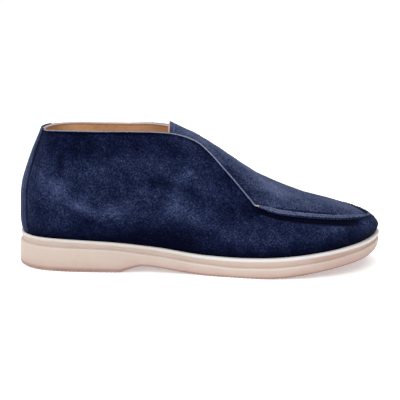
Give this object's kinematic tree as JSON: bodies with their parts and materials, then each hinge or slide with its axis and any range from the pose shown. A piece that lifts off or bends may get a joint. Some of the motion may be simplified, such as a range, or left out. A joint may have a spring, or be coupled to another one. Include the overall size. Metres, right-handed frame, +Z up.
{
  "type": "loafer",
  "caption": "High-cut suede slip-on loafer for the right foot, with an apron that runs up into the tongue and a one-piece rubber unit sole.",
  "frame": {"origin": "on the floor, below the centre of the shoe's bounding box", "axes": "+X towards the toe, +Y towards the inner side of the foot, +Z up from the floor"},
  "size_m": [0.292, 0.0965, 0.1138],
  "materials": {
    "rubber": "satin",
    "sock": "matte",
    "suede": "matte nap",
    "apron_suede": "matte nap",
    "stay_suede": "matte nap"
  },
  "bodies": {
    "root": {"outsole": "rubber", "insole": "sock", "upper": "suede", "apron_tongue": "apron_suede", "back_stay": "stay_suede"}
  },
  "joints": []
}
